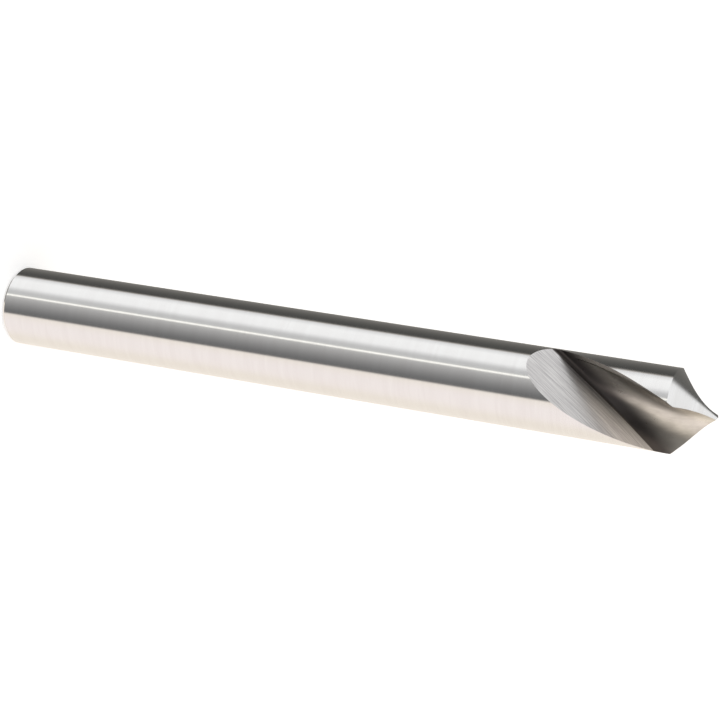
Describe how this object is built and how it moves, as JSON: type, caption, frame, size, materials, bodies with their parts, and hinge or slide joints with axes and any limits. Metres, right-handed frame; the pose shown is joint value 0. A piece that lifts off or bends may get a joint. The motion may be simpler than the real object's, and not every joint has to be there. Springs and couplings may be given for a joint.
{
  "type": "spotting drill",
  "caption": "Straight-shank, right-hand spotting drill with short helical flutes and a ninety-degree relieved point, ground from one round bar.",
  "frame": {"origin": "centre of the flat shank end, on which the drill stands", "axes": "+Z along the drill's axis, from the shank end towards the point"},
  "size_m": [0.0096, 0.0096, 0.0889],
  "materials": {
    "ground_steel": "bright ground and lightly polished, with fine grinding lines in the flutes"
  },
  "bodies": {
    "root": {"spotting_drill": "ground_steel"}
  },
  "joints": []
}
